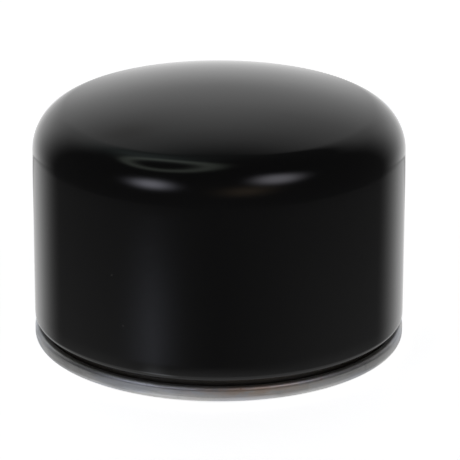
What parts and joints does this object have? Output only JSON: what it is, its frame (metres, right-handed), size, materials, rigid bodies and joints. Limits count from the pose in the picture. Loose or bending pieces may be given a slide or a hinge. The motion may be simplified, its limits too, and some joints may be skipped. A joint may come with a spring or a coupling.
{
  "type": "oil filter",
  "caption": "Short spin-on oil filter: domed black steel can with a rolled bare-metal seam, base gasket, threaded plate, pleated paper element, check valve and bypass valve.",
  "frame": {"origin": "centre of the base gasket's sealing face, on the thread's axis", "axes": "+Z from the threaded end towards the dome; X and Y span the sealing face"},
  "size_m": [0.0762, 0.0762, 0.0544],
  "materials": {
    "can_paint": "smooth gloss black enamel over drawn steel",
    "lid_steel": "bare tin-plated sheet, rolled at the seam",
    "plate_steel": "zinc-plated thick steel plate",
    "gasket_rubber": "moulded black nitrile rubber",
    "valve_rubber": "soft moulded nitrile rubber",
    "seam_compound": "cured sealing compound",
    "cap_steel": "tin-plated pressed steel",
    "potting": "cured plastisol adhesive",
    "paper": "resin-treated yellow-brown filter paper",
    "clip_steel": "crimped steel strip",
    "tube_steel": "perforated tin-plated steel",
    "bypass_steel": "pressed steel, passivated",
    "poppet_nylon": "moulded natural nylon",
    "seal_rubber": "flat nitrile ring",
    "spring_steel": "oiled spring wire"
  },
  "bodies": {
    "canister": {"can": "can_paint", "seam_lid": "lid_steel", "seam_sealant": "seam_compound", "base_gasket": "gasket_rubber", "tapping_plate": "plate_steel", "anti_drainback_hub": "valve_rubber", "lower_end_cap": "cap_steel", "lower_potting": "potting", "upper_end_cap": "cap_steel", "upper_potting": "potting", "filter_media": "paper", "media_seam_clip": "clip_steel", "center_tube": "tube_steel", "bypass_housing": "bypass_steel", "bypass_cage": "bypass_steel", "bypass_spring": "spring_steel", "element_spring": "spring_steel"},
    "bypass_valve": {"bypass_poppet": "poppet_nylon", "bypass_seal": "seal_rubber"},
    "drainback_flap": {"anti_drainback_lip": "valve_rubber"}
  },
  "joints": [
    {"name": "bypass_opening", "type": "slide", "parent": "canister", "child": "bypass_valve", "axis": [0, 0, -1], "range_m": [0, 0.003], "stiffness_N_per_m": 2000, "springref_m": -0.0063, "deforming": ["bypass_spring"]},
    {"name": "drainback_lift", "type": "slide", "parent": "canister", "child": "drainback_flap", "axis": [0, 0, 1], "range_m": [0, 0.0012], "stiffness_N_per_m": 800, "springref_m": -0.0003}
  ]
}
